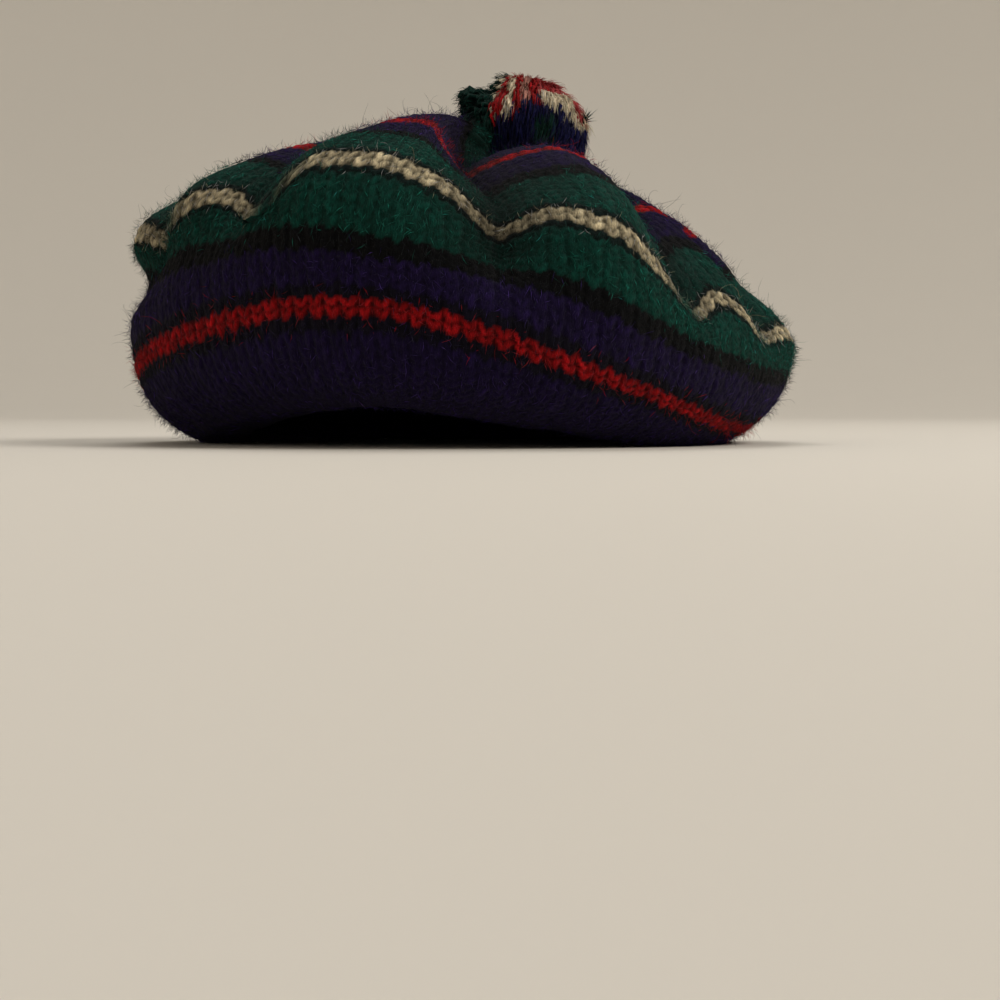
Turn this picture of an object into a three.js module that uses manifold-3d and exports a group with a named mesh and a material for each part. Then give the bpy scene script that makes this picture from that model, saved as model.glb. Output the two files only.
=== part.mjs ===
// A knitted tam o' shanter: one soft wool crown with a rolled brim and a turned
// hem at the head opening, gathered at the top, where a yarn tie holds a pompom.
// It lies on its brim with the crown leaning to the right, as it has been worn.
// Millimetres, +Z up, front towards -Y. Angles run from the front to the right.

import * as THREE from 'three';
import { mergeVertices } from 'three/addons/utils/BufferGeometryUtils.js';
import Module from 'manifold-3d';

const wasm = await Module();
wasm.setup();

// Sizes of the knitted crown
const brimRadius = 125;
const openingRadius = 81;
const crownHeight = 106;
const wallThickness = 3;
const hemHeight = 7;
const gatherRadius = 3;
// The underside is pressed flat by this much where the hat lies on it
const pressDepth = 1;

// How the crown has taken its worn shape, in degrees and millimetres
const sideLean = 9.5;
const backLean = 5;
const slouch = 24;
const slouchPower = 4;
const frontArch = 24;
const archAngle = -20;
const archSpread = 82;
const puffHeight = 12;
const foldDepth = 12;

// Sizes of the pompom and its tie
const pompomRadius = 25;
const pompomHeight = 48;
const pompomOffset = 4;
const lockCount = 38;
const lockRadius = 5.4;
const lockLength = 4.2;
// Share of the section from which the crown is trimmed out of the pompom
const seatStart = 0.7;
// Lowest lock, as a share of the way from the middle up to the top
const lowestLock = -0.55;
const knotRadius = 6;
const knotHeight = 7;
const seatGap = 0.3;
// Share of the gather's hole that the shaft of the tie takes up
const shaftShare = 0.75;

// Facets
const columns = 84;
const rowsPerSection = 1.1;
const pompomSides = 16;
const lockSides = 6;
const tieSides = 14;

// The underside, from the hem outwards: reach is a share of the width that
// overhangs the opening, and rise a share of the hem's height.
const undersideSections = [
  { reach: 0.02, rise: 1.0 },
  { reach: 0.0, rise: 0.45 },
  { reach: 0.05, rise: 0.08 },
  { reach: 0.14, rise: 0.0 },
  { reach: 0.34, rise: 0.0 },
];

// The outside, from the roll up to the gather: reach is a share of the brim's
// radius, and rise a share of the crown's height.
const crownSections = [
  { reach: 0.815, rise: 0.022 },
  { reach: 0.885, rise: 0.07 },
  { reach: 0.942, rise: 0.135 },
  { reach: 0.98, rise: 0.22 },
  { reach: 1.0, rise: 0.33 },
  { reach: 0.992, rise: 0.43 },
  { reach: 0.972, rise: 0.51 },
  { reach: 0.94, rise: 0.59 },
  { reach: 0.885, rise: 0.67 },
  { reach: 0.79, rise: 0.755 },
  { reach: 0.665, rise: 0.84 },
  { reach: 0.52, rise: 0.912 },
  { reach: 0.37, rise: 0.957 },
  { reach: 0.245, rise: 0.967 },
  { reach: 0.15, rise: 0.95 },
  { reach: 0.085, rise: 0.925 },
];
const gatherRise = 0.905;

// The soft lobes between the folds: lift is a share of puffHeight
const lobes = [
  { angle: -78, lift: -0.05 },
  { angle: -46, lift: 0.0 },
  { angle: -22, lift: 0.75 },
  { angle: 4, lift: 0.2 },
  { angle: 24, lift: 0.6 },
  { angle: 52, lift: -0.1 },
  { angle: 82, lift: -0.1 },
  { angle: 113, lift: 0.0 },
  { angle: 146, lift: 0.1 },
  { angle: 179, lift: 0.2 },
  { angle: 212, lift: 0.2 },
  { angle: 247, lift: -0.05 },
];

// The folds that run down from the gather: depth is a share of foldDepth, width
// is in degrees, low a share of the crown's height and inner of the brim's radius.
// Swing is how many degrees a fold has turned when it reaches the gather.
const folds = [
  { angle: -68, depth: 0.8, width: 13, low: 0.42, inner: 0.22, swing: 0 },
  { angle: -39, depth: 0.9, width: 13, low: 0.42, inner: 0.22, swing: 8 },
  { angle: 6, depth: 1.15, width: 17, low: 0.3, inner: 0.16, swing: -20 },
  { angle: 42, depth: 1.1, width: 14, low: 0.42, inner: 0.2, swing: 0 },
  { angle: 66, depth: 1.0, width: 11, low: 0.4, inner: 0.3, swing: 0 },
  { angle: 96, depth: 0.8, width: 15, low: 0.4, inner: 0.2, swing: 0 },
  { angle: 129, depth: 0.9, width: 15, low: 0.42, inner: 0.2, swing: 0 },
  { angle: 163, depth: 0.8, width: 14, low: 0.45, inner: 0.22, swing: 0 },
  { angle: 196, depth: 0.9, width: 16, low: 0.38, inner: 0.18, swing: 0 },
  { angle: 229, depth: 0.8, width: 14, low: 0.42, inner: 0.25, swing: 0 },
  { angle: 266, depth: 0.7, width: 13, low: 0.42, inner: 0.2, swing: 0 },
];
const foldSharpness = 1.35;

// The dents round the sides, and the swells above and below them, which have a
// negative depth: depth in millimetres, and rise and height as shares of the
// crown's height
const dents = [
  { angle: -88, spread: 58, rise: 0.42, height: 0.11, depth: 5.5 },
  { angle: -88, spread: 60, rise: 0.58, height: 0.15, depth: -7 },
  { angle: 90, spread: 42, rise: 0.68, height: 0.1, depth: 5 },
  { angle: 92, spread: 60, rise: 0.46, height: 0.16, depth: -3 },
];

// Shares of the crown's height between which the lobes, the lean, the front
// arch and its fading come in
const lobeRange = { low: 0.2, high: 0.56 };
const leanRange = { low: 0.08, high: 0.8 };
const archRange = { low: 0.0, high: 0.25 };
const fadeRange = { low: 0.3, high: 0.9 };
// Share of the arch that is left at the brim's underside, and at the top
const archUnder = 0.6;
const archOver = 0.3;
// Shares of the brim's radius between which the lobes die out at the gather
const lobeInner = 0.12;
const lobeOuter = 0.8;
// Shares of the brim's radius between which a fold makes its swing, and the
// degrees to each side that swing with it
const swingRange = { low: 0.3, high: 0.95 };
const swingSpread = 45;
// How far a fold runs in, as shares below and above where it begins
const foldFade = { before: 0.1, after: 0.2 };
// Shares of a lobe and of a fold that move outwards, and those that only rise
const puffShare = { outward: 0.5, rise: 0.4 };
const foldShare = { outward: 0.8, rise: 0.3 };

const radians = THREE.MathUtils.degToRad;
const smooth = THREE.MathUtils.smoothstep;

// A rounded hill: 1 at offset 0, and 0 from one spread away
function hill(offset, spread) {
  const share = Math.min(1, Math.abs(offset) / spread);
  return 0.5 + 0.5 * Math.cos(Math.PI * share);
}

// The difference between two angles, from -180 to 180 degrees
function turnBetween(angle, from) {
  return THREE.MathUtils.euclideanModulo(angle - from + 180, 360) - 180;
}

// The turn onwards from one angle to another, from 0 to 360 degrees
function turnOn(angle, from) {
  return THREE.MathUtils.euclideanModulo(angle - from, 360);
}

function sectionCurve() {
  const overhang = brimRadius - openingRadius;
  const underside = undersideSections.map(({ reach, rise }) =>
    new THREE.Vector2(openingRadius + reach * overhang, rise * hemHeight));
  const outside = crownSections.map(({ reach, rise }) =>
    new THREE.Vector2(reach * brimRadius, rise * crownHeight));
  const gather = new THREE.Vector2(gatherRadius, gatherRise * crownHeight);
  return new THREE.SplineCurve([...underside, ...outside, gather]);
}

const section = sectionCurve();

// Lift of the lobes at an angle, easing from each one to the next
function lobeLift(angle) {
  const index = lobes.findIndex((lobe, place) => {
    const after = lobes[(place + 1) % lobes.length];
    return turnOn(angle, lobe.angle) <= turnOn(after.angle, lobe.angle);
  });
  const before = lobes[index];
  const after = lobes[(index + 1) % lobes.length];
  const span = turnOn(after.angle, before.angle);
  const eased = smooth(turnOn(angle, before.angle), 0, span);
  return THREE.MathUtils.lerp(before.lift, after.lift, eased);
}

// Depth of all the folds at a point of the section
function foldAt(angle, radius, height) {
  let depth = 0;
  for (const fold of folds) {
    const near = Math.max(0, 1 - Math.abs(turnBetween(angle, fold.angle)) / fold.width);
    const rising = smooth(height / crownHeight, fold.low - foldFade.before, fold.low + foldFade.after);
    const closing = smooth(radius / brimRadius, fold.inner - foldFade.before, fold.inner + foldFade.after);
    depth += fold.depth * foldDepth * near ** foldSharpness * rising * closing;
  }
  return depth;
}

// Degrees by which the folds have turned the wall that started at an angle
function swingAt(angle, share) {
  let swing = 0;
  for (const fold of folds) {
    swing += fold.swing * hill(turnBetween(angle, fold.angle), swingSpread);
  }
  const reach = section.getPoint(share).x / brimRadius;
  return swing * (1 - smooth(reach, swingRange.low, swingRange.high));
}

function dentAt(angle, height) {
  let depth = 0;
  for (const dent of dents) {
    depth += dent.depth * hill(turnBetween(angle, dent.angle), dent.spread)
      * hill(height / crownHeight - dent.rise, dent.height);
  }
  return depth;
}

function withinHeight(height, range) {
  return smooth(height / crownHeight, range.low, range.high);
}

// The outside of the crown: share runs from the hem, 0, to the gather, 1
function crownPoint(angle, share) {
  const flat = section.getPoint(share);
  const slope = section.getTangent(share);
  let radius = flat.x;
  let height = Math.max(0, flat.y - pressDepth);

  const puff = puffHeight * lobeLift(angle) * withinHeight(height, lobeRange)
    * smooth(radius / brimRadius, lobeInner, lobeOuter);
  const fold = foldAt(angle, radius, height);
  radius += slope.y * (puff * puffShare.outward - fold * foldShare.outward);
  height += puff * (puffShare.rise - slope.x * (1 - puffShare.rise))
    - fold * (foldShare.rise - slope.x * (1 - foldShare.rise));
  height = Math.max(0, height);
  radius -= dentAt(angle, height);

  const facing = radians(angle + swingAt(angle, share));
  const x = radius * Math.sin(facing);
  const y = -radius * Math.cos(facing);
  const lean = -x * Math.tan(radians(sideLean)) - y * Math.tan(radians(backLean));
  const arch = frontArch * hill(turnBetween(angle, archAngle), archSpread)
    * THREE.MathUtils.lerp(archUnder, 1, withinHeight(height, archRange))
    * THREE.MathUtils.lerp(1, archOver, withinHeight(height, fadeRange));
  const shift = slouch * (height / crownHeight) ** slouchPower;
  const rise = height + withinHeight(height, leanRange) * lean + arch;
  return new THREE.Vector3(x + shift, y, Math.max(0, rise));
}

// The inside lies one wall behind the outside, measured across the wall
function innerPoint(angle, share) {
  const step = 0.25 / (rowCount() - 1);
  const here = crownPoint(angle, share);
  const along = crownPoint(angle, Math.min(1, share + step))
    .sub(crownPoint(angle, Math.max(0, share - step)));
  const facing = radians(angle + swingAt(angle, share));
  const outward = new THREE.Vector3(Math.sin(facing), -Math.cos(facing), 0);
  const across = outward.clone().multiplyScalar(along.z);
  across.z = -along.dot(outward);
  return here.addScaledVector(across.normalize(), -wallThickness);
}

function rowCount() {
  const sections = undersideSections.length + crownSections.length + 1;
  return Math.round((sections - 1) * rowsPerSection) + 1;
}

function crownGeometry() {
  const rows = rowCount();
  const loop = 2 * rows;
  const positions = [];
  for (let column = 0; column < columns; column += 1) {
    const angle = (360 * column) / columns;
    for (let row = 0; row < rows; row += 1) {
      positions.push(...crownPoint(angle, row / (rows - 1)).toArray());
    }
    for (let row = rows - 1; row >= 0; row -= 1) {
      positions.push(...innerPoint(angle, row / (rows - 1)).toArray());
    }
  }
  const faces = [];
  for (let column = 0; column < columns; column += 1) {
    const here = column * loop;
    const next = ((column + 1) % columns) * loop;
    for (let row = 0; row < loop; row += 1) {
      const above = (row + 1) % loop;
      faces.push(here + row, next + row, next + above);
      faces.push(here + row, next + above, here + above);
    }
  }
  const geometry = new THREE.BufferGeometry();
  geometry.setAttribute('position', new THREE.Float32BufferAttribute(positions, 3));
  geometry.setIndex(faces);
  geometry.computeVertexNormals();
  return geometry;
}

// The frame at the gather: its middle, and the crown's tilt there
function gatherFrame() {
  const frame = new THREE.Group();
  const middle = new THREE.Vector3();
  for (let column = 0; column < columns; column += 1) {
    middle.addScaledVector(crownPoint((360 * column) / columns, 1), 1 / columns);
  }
  frame.position.copy(middle);
  frame.rotation.set(-radians(backLean), radians(sideLean), 0);
  frame.updateMatrixWorld();
  return frame;
}

// The crown's outside round the gather, closed below, to trim the pompom with
function gatherGeometry(middle) {
  const rows = rowCount();
  const first = Math.floor(seatStart * rows);
  const ring = rows - first;
  const positions = [];
  for (let column = 0; column < columns; column += 1) {
    for (let row = first; row < rows; row += 1) {
      positions.push(...crownPoint((360 * column) / columns, row / (rows - 1)).toArray());
    }
  }
  const centre = columns * ring;
  const root = centre + 1;
  positions.push(middle.x, middle.y, middle.z);
  positions.push(middle.x, middle.y, middle.z - crownHeight);
  const faces = [];
  for (let column = 0; column < columns; column += 1) {
    const here = column * ring;
    const next = ((column + 1) % columns) * ring;
    faces.push(root, next, here);
    for (let row = 0; row < ring - 1; row += 1) {
      faces.push(here + row, next + row, next + row + 1);
      faces.push(here + row, next + row + 1, here + row + 1);
    }
    faces.push(here + ring - 1, next + ring - 1, centre);
  }
  const geometry = new THREE.BufferGeometry();
  geometry.setAttribute('position', new THREE.Float32BufferAttribute(positions, 3));
  geometry.setIndex(faces);
  return geometry;
}

function toSolid(geometry) {
  const bare = geometry.clone();
  bare.deleteAttribute('normal');
  bare.deleteAttribute('uv');
  const merged = mergeVertices(bare, 1e-4);
  return new wasm.Manifold(new wasm.Mesh({
    numProp: 3,
    vertProperties: new Float32Array(merged.attributes.position.array),
    triVerts: new Uint32Array(merged.index.array),
  }));
}

function fromSolid(solid) {
  const mesh = solid.getMesh();
  const geometry = new THREE.BufferGeometry();
  geometry.setAttribute('position', new THREE.BufferAttribute(mesh.vertProperties, 3));
  geometry.setIndex(new THREE.BufferAttribute(mesh.triVerts, 1));
  geometry.computeVertexNormals();
  return geometry;
}

// One lock of cut yarn, standing on the core along +Y
function lockGeometry() {
  const root = -0.8 * lockRadius;
  return new THREE.LatheGeometry([
    new THREE.Vector2(0, root),
    new THREE.Vector2(lockRadius, root),
    new THREE.Vector2(0.85 * lockRadius, 0.35 * lockLength),
    new THREE.Vector2(0.4 * lockRadius, 0.85 * lockLength),
    new THREE.Vector2(0, lockLength),
  ], lockSides);
}

// A flattened core with locks fused all over it but underneath, trimmed where
// the lobes of the crown rise into it
function pompomGeometry(trimming) {
  const coreRadius = pompomRadius - lockLength;
  const flatness = (0.5 * pompomHeight - lockLength) / coreRadius;
  const core = new THREE.SphereGeometry(coreRadius, pompomSides, pompomSides / 2);
  core.rotateX(Math.PI / 2);
  core.scale(1, 1, flatness);
  const goldenTurn = Math.PI * (3 - Math.sqrt(5));
  let solid = toSolid(core);
  for (let lock = 0; lock < lockCount; lock += 1) {
    const z = 1 - ((lock + 0.5) / lockCount) * (1 - lowestLock);
    const ring = Math.sqrt(1 - z ** 2);
    const direction = new THREE.Vector3(
      ring * Math.cos(lock * goldenTurn), ring * Math.sin(lock * goldenTurn), z);
    const tuft = lockGeometry();
    tuft.applyQuaternion(new THREE.Quaternion()
      .setFromUnitVectors(new THREE.Vector3(0, 1, 0), direction));
    tuft.translate(direction.x * coreRadius, direction.y * coreRadius,
      direction.z * coreRadius * flatness);
    solid = solid.add(toSolid(tuft));
  }
  return fromSolid(solid.subtract(toSolid(trimming)));
}

// Height under which the knot clears the inside of the crown
function knotSeat(frame) {
  const rows = rowCount();
  let seat = 0;
  for (let column = 0; column < columns; column += 1) {
    for (let row = rows - 1; row > Math.floor(rows / 2); row -= 1) {
      const point = frame.worldToLocal(
        innerPoint((360 * column) / columns, row / (rows - 1)));
      if (Math.hypot(point.x, point.y) < 2 * knotRadius) {
        seat = Math.min(seat, point.z - seatGap);
      }
    }
  }
  return seat;
}

// The yarn that closes the gather: a shaft through it, knotted inside
function tieGeometry(shaftRoot, shaftTop) {
  const shaftRadius = shaftShare * gatherRadius;
  const geometry = new THREE.LatheGeometry([
    new THREE.Vector2(0, shaftRoot - knotHeight),
    new THREE.Vector2(0.7 * knotRadius, shaftRoot - 0.85 * knotHeight),
    new THREE.Vector2(knotRadius, shaftRoot - 0.5 * knotHeight),
    new THREE.Vector2(0.75 * knotRadius, shaftRoot - 0.12 * knotHeight),
    new THREE.Vector2(shaftRadius, shaftRoot),
    new THREE.Vector2(shaftRadius, shaftTop),
    new THREE.Vector2(0, shaftTop),
  ], tieSides);
  geometry.rotateX(Math.PI / 2);
  return geometry;
}

function woolMesh(name, geometry, colour) {
  const material = new THREE.MeshStandardMaterial({ color: colour, roughness: 0.95, metalness: 0 });
  const mesh = new THREE.Mesh(geometry, material);
  mesh.name = name;
  return mesh;
}

function buildHat() {
  const frame = gatherFrame();
  const seat = 0.5 * pompomHeight - lockLength + 2 * seatGap;
  const trimming = gatherGeometry(frame.position);
  trimming.applyMatrix4(frame.matrixWorld.clone().invert());
  trimming.translate(-pompomOffset, 0, seatGap - seat);
  const pompom = woolMesh('pompom', pompomGeometry(trimming), 0x16224a);
  pompom.position.set(pompomOffset, 0, seat);
  const tie = woolMesh('pompom_tie', tieGeometry(knotSeat(frame), seatGap), 0x1c1a1f);
  frame.add(pompom, tie);

  const hat = new THREE.Group();
  hat.add(woolMesh('crown', crownGeometry(), 0x2a1d4a), frame);

  // The origin goes under the middle of the whole hat, on the surface it lies on
  const bounds = new THREE.Box3().setFromObject(hat);
  const middle = bounds.getCenter(new THREE.Vector3());
  hat.position.set(-middle.x, -middle.y, -bounds.min.z);
  return hat;
}

export default buildHat();
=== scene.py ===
import math

import bpy
import numpy as np
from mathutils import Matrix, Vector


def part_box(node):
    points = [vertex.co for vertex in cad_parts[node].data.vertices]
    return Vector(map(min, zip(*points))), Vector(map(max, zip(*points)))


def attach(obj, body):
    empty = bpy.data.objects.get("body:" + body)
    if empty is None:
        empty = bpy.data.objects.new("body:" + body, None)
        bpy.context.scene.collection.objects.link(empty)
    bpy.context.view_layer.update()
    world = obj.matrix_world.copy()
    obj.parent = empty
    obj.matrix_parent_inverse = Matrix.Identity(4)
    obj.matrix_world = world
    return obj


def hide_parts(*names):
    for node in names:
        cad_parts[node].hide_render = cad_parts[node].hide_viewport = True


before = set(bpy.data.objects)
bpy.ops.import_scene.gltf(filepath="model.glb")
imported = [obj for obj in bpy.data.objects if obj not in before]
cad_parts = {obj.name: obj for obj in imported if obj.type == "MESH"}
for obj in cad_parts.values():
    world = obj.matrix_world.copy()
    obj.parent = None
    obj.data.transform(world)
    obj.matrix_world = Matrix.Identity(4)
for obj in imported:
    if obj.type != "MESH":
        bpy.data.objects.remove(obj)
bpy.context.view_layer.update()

MM = 0.001

# Sizes of the knitted crown, in millimetres and degrees
BRIM_RADIUS = 125
OPENING_RADIUS = 81
CROWN_HEIGHT = 106
WALL = 3
HEM_HEIGHT = 7
GATHER_RADIUS = 3
PRESS_DEPTH = 1
SIDE_LEAN = 9.5
BACK_LEAN = 5
SLOUCH = 24
SLOUCH_POWER = 4
FRONT_ARCH = 24
ARCH_ANGLE = -20
ARCH_SPREAD = 82
PUFF_HEIGHT = 12
FOLD_DEPTH = 12
FOLD_SHARPNESS = 1.35
GATHER_RISE = 0.905

# Underside: reach as a share of the overhang, rise as a share of the hem's height
UNDERSIDE = [(0.02, 1.0), (0.0, 0.45), (0.05, 0.08), (0.14, 0.0), (0.34, 0.0)]

# Outside: reach as a share of the brim's radius, rise as a share of the height
OUTSIDE = [
    (0.815, 0.022), (0.885, 0.07), (0.942, 0.135), (0.98, 0.22), (1.0, 0.33), (0.992, 0.43),
    (0.972, 0.51), (0.94, 0.59), (0.885, 0.67), (0.79, 0.755), (0.665, 0.84), (0.52, 0.912),
    (0.37, 0.957), (0.245, 0.967), (0.15, 0.95), (0.085, 0.925),
]

# Soft lobes: angle, lift
LOBES = [
    (-78, -0.05), (-46, 0.0), (-22, 0.75), (4, 0.2), (24, 0.6), (52, -0.1),
    (82, -0.1), (113, 0.0), (146, 0.1), (179, 0.2), (212, 0.2), (247, -0.05),
]

# Folds: angle, depth, width, low, inner, swing
FOLDS = [
    (-68, 0.8, 13, 0.42, 0.22, 0), (-39, 0.9, 13, 0.42, 0.22, 8), (6, 1.15, 17, 0.3, 0.16, -20),
    (42, 1.1, 14, 0.42, 0.2, 0), (66, 1.0, 11, 0.4, 0.3, 0), (96, 0.8, 15, 0.4, 0.2, 0),
    (129, 0.9, 15, 0.42, 0.2, 0), (163, 0.8, 14, 0.45, 0.22, 0), (196, 0.9, 16, 0.38, 0.18, 0),
    (229, 0.8, 14, 0.42, 0.25, 0), (266, 0.7, 13, 0.42, 0.2, 0),
]
SWING_SPREAD = 45

# Side dents, and swells with a negative depth: angle, spread, rise, height, depth
DENTS = [
    (-88, 58, 0.42, 0.11, 5.5), (-88, 60, 0.58, 0.15, -7), (90, 42, 0.68, 0.1, 5), (92, 60, 0.46, 0.16, -3),
]

# Shares of the height between which the lobes, the lean, the front arch and its fading come in
LOBE_RANGE = (0.2, 0.56)
LEAN_RANGE = (0.08, 0.8)
ARCH_RANGE = (0.0, 0.25)
FADE_RANGE = (0.3, 0.9)

# Share of the arch that is left at the brim's underside, and at the top
ARCH_UNDER = 0.6
ARCH_OVER = 0.3

# Shares of the brim's radius between which the lobes die out at the gather, and a fold swings
LOBE_REACH = (0.12, 0.8)
SWING_REACH = (0.3, 0.95)

# How far a fold runs in, as shares below and above where it begins
FOLD_BEFORE = 0.1
FOLD_AFTER = 0.2

# Shares of a lobe and of a fold that move outwards, and those that only rise
PUFF_OUTWARD = 0.5
PUFF_RISE = 0.4
FOLD_OUTWARD = 0.8
FOLD_RISE = 0.3

# How much light the folds keep out: the share of their width that is in shade, how the shade
# comes in, and the light that is left at the bottom
FOLD_SHADE_SHARE = 0.85
FOLD_SHADE_POWER = 1.2
FOLD_DARK = 0.3

# The knit: courses from the hem to the gather, the widest stitch, and the smallest share of it
COURSES = 72
STITCH_WIDTH = 5.9
SMALLEST_STITCH = 0.12

# A leg of a stitch, in courses along and stitches across: where it starts and ends, how far it
# stands from the middle of its stitch and leans away, and its width and height
LEG_START = -0.15
LEG_END = 1.18
LEG_ROUNDNESS = 0.55
LEG_GAP = 0.06
LEG_LEAN = 0.27
LEG_HALF_WIDTH = 0.215
LEG_RISE = 1.06
LEG_DROP = 0.12

# Random shades are looked up by a leg's number: their seed, how many there are, and the numbers
# in a column
SHADE_SEED = 11
SHADE_COUNT = 40009
LEG_STRIDE = 97

# Relief of the knit in millimetres: the level of the smooth wall within a stitch, how much of
# the relief felted wool keeps, how uneven the legs are, and how the wool swells and sags
WALL_LEVEL = 0.62
FELTED_RELIEF = 0.6
LEG_UNEVENNESS = 0.12
WOOL_SWELL = 0.3
SAG_SWELL = 0.12

# How far rows wander and stitches lean and sag, in courses and stitches
ROW_WANDER = 0.18
WANDER_RISE = (0, 9)
WANDER_FALL = (58, COURSES)
STITCH_LEAN = 0.07
STITCH_SAG = 0.12

# Painted shade between the legs and painted light on them: the brightness there, felted and open, and how
# much it differs from leg to leg
FELTED_SHADE_LOW = 0.62
FELTED_SHADE_GAIN = 0.42
OPEN_SHADE_LOW = 0.18
OPEN_SHADE_GAIN = 1.0
OPEN_SHADE_POWER = 1.3
LEG_CONTRAST = 0.14
CRISP_CONTRAST = 0.12

# The inside: how deep its ridges are, how far it stands off the wall's inner face, and its tone
PURL_HEIGHT = 0.35
INSIDE_LIFT = 0.4
INSIDE_BRIGHTNESS = 0.8

# The lowest that the outside and the inside reach over the floor
OUTSIDE_FLOOR = 0.02
INSIDE_FLOOR = 0.6

# Where courses lie closer together, or further apart with a share below 0: course, share
SQUEEZES = [(18, 0.38), (32, -0.28)]
SQUEEZE_SPREAD = 1.5

# How many courses the stripes have slipped up the wall, by angle: none at the first and last of
# these courses, and the table's columns at the others
SLIP_COURSES = [0, 18, 25, 32, 48, 60]
STRIPE_SLIP = [
    # angle, red, green, cream, upper red
    (-110, 0.8, 2.0, 0.0, 0.0),
    (-80, 0.4, 2.4, -1.3, -2.0),
    (-68, 0.3, 1.2, -1.7, -3.5),
    (-58, 0.1, 0.8, -2.8, -4.0),
    (-45, 0.1, 0.3, -1.1, -4.0),
    (-35, 0.15, 0.0, -5.0, -5.5),
    (-24, 0.25, -0.7, -0.6, -5.0),
    (-12, 0.25, -1.2, 0.0, -3.0),
    (-3, -0.3, -0.6, 0.3, -5.0),
    (5, -0.8, -0.2, -1.7, -0.5),
    (14, -1.5, -0.3, 1.1, 1.8),
    (23, -2.1, -1.1, -0.8, 2.3),
    (32, -2.75, -1.9, -2.2, 2.0),
    (42, -3.85, -2.7, -5.2, 0.0),
    (50, -4.9, -3.1, -1.0, 3.0),
    (60, -6.0, -3.6, -5.4, -1.0),
    (75, -6.8, -4.0, -3.8, 0.0),
    (96, -6.8, -4.0, -6.0, -2.0),
    (135, -3.0, -2.0, -3.0, -1.0),
    (180, 0.5, 0.5, 0.0, 0.0),
]

# Stripes: yarn, and the course that it ends at
STRIPES = [
    ("purple", 16), ("dusk", 17), ("red", 19), ("dusk", 20), ("purple", 23), ("black", 25),
    ("green", 30), ("moss", 31), ("cream", 33), ("moss", 34), ("green", 40), ("black", 42),
    ("purple", 47), ("red", 49), ("purple", 57), ("black", 59), ("green", 72),
]

# Yarn colours, as the eye sees them, from 0 to 255
YARNS = {
    "purple": (21, 11, 46),
    "dusk": (11, 8, 21),
    "moss": (4, 20, 18),
    "black": (5, 6, 8),
    "red": (134, 9, 14),
    "green": (4, 50, 42),
    "cream": (164, 152, 124),
    "navy": (10, 11, 50),
    "rose": (146, 52, 54),
}

# Every piece of fibres takes its sides from this one generator, in turn
rng = np.random.default_rng(7)


def linear(colour):
    c = np.asarray(colour, float) / 255
    return np.where(c <= 0.04045, c / 12.92, ((c + 0.055) / 1.055) ** 2.4)


def smooth(x, low, high):
    t = np.clip((x - low) / (high - low), 0, 1)
    return t * t * (3 - 2 * t)


def hill(offset, spread):
    return 0.5 + 0.5 * np.cos(np.pi * np.minimum(1, np.abs(offset) / spread))


def turn_between(angle, start):
    return (angle - start + 180) % 360 - 180


def unit(vectors):
    return vectors / (np.linalg.norm(vectors, axis=-1, keepdims=True) + 1e-12)


def section_points():
    overhang = BRIM_RADIUS - OPENING_RADIUS
    under = [(OPENING_RADIUS + reach * overhang, rise * HEM_HEIGHT) for reach, rise in UNDERSIDE]
    outer = [(reach * BRIM_RADIUS, rise * CROWN_HEIGHT) for reach, rise in OUTSIDE]
    return np.array(under + outer + [(GATHER_RADIUS, GATHER_RISE * CROWN_HEIGHT)])


SECTION = section_points()


def section_at(share):
    """The section's smooth curve through its points, at shares from 0 to 1."""
    last = len(SECTION) - 1
    place = last * np.clip(share, 0, 1)
    i = np.minimum(np.floor(place).astype(int), last - 1)
    w = (place - i)[..., None]
    before = SECTION[np.maximum(i - 1, 0)]
    start = SECTION[i]
    end = SECTION[i + 1]
    after = SECTION[np.minimum(i + 2, last)]
    leave = (end - before) * 0.5
    arrive = (after - start) * 0.5
    return ((2 * start - 2 * end + leave + arrive) * w ** 3
            + (-3 * start + 3 * end - 2 * leave - arrive) * w ** 2 + leave * w + start)


def arc_table():
    """Shares of the section's curve, and how much of its length lies before each."""
    shares = np.linspace(0, 1, 4001)
    steps = np.linalg.norm(np.diff(section_at(shares), axis=0), axis=1)
    arcs = np.concatenate([[0], np.cumsum(steps)])
    return shares, arcs / arcs[-1]


ARC_SHARES, ARC_LENGTHS = arc_table()


def eased_between(rows, angle):
    """A table's value at an angle, easing from each row to the next, right round."""
    starts = np.array([row[0] for row in rows] + [rows[0][0] + 360], float)
    values = np.array([row[1] for row in rows] + [rows[0][1]], float)
    a = (angle - starts[0]) % 360 + starts[0]
    i = np.clip(np.searchsorted(starts, a, side="right") - 1, 0, len(rows) - 1)
    eased = smooth(a, starts[i], starts[i + 1])
    return values[i] + (values[i + 1] - values[i]) * eased


def fold_at(angle, radius, rise):
    """Depth of all the folds, and the degrees by which they have turned the wall."""
    reach = radius / BRIM_RADIUS
    fold = np.zeros_like(radius)
    swing = np.zeros_like(radius)
    for start, depth, width, low, inner, turn in FOLDS:
        offset = turn_between(angle, start)
        near = np.maximum(0, 1 - np.abs(offset) / width) ** FOLD_SHARPNESS
        rising = smooth(rise, low - FOLD_BEFORE, low + FOLD_AFTER)
        closing = smooth(reach, inner - FOLD_BEFORE, inner + FOLD_AFTER)
        fold = fold + depth * FOLD_DEPTH * near * rising * closing
        swing = swing + turn * hill(offset, SWING_SPREAD)
    return fold, swing * (1 - smooth(reach, *SWING_REACH))


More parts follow.
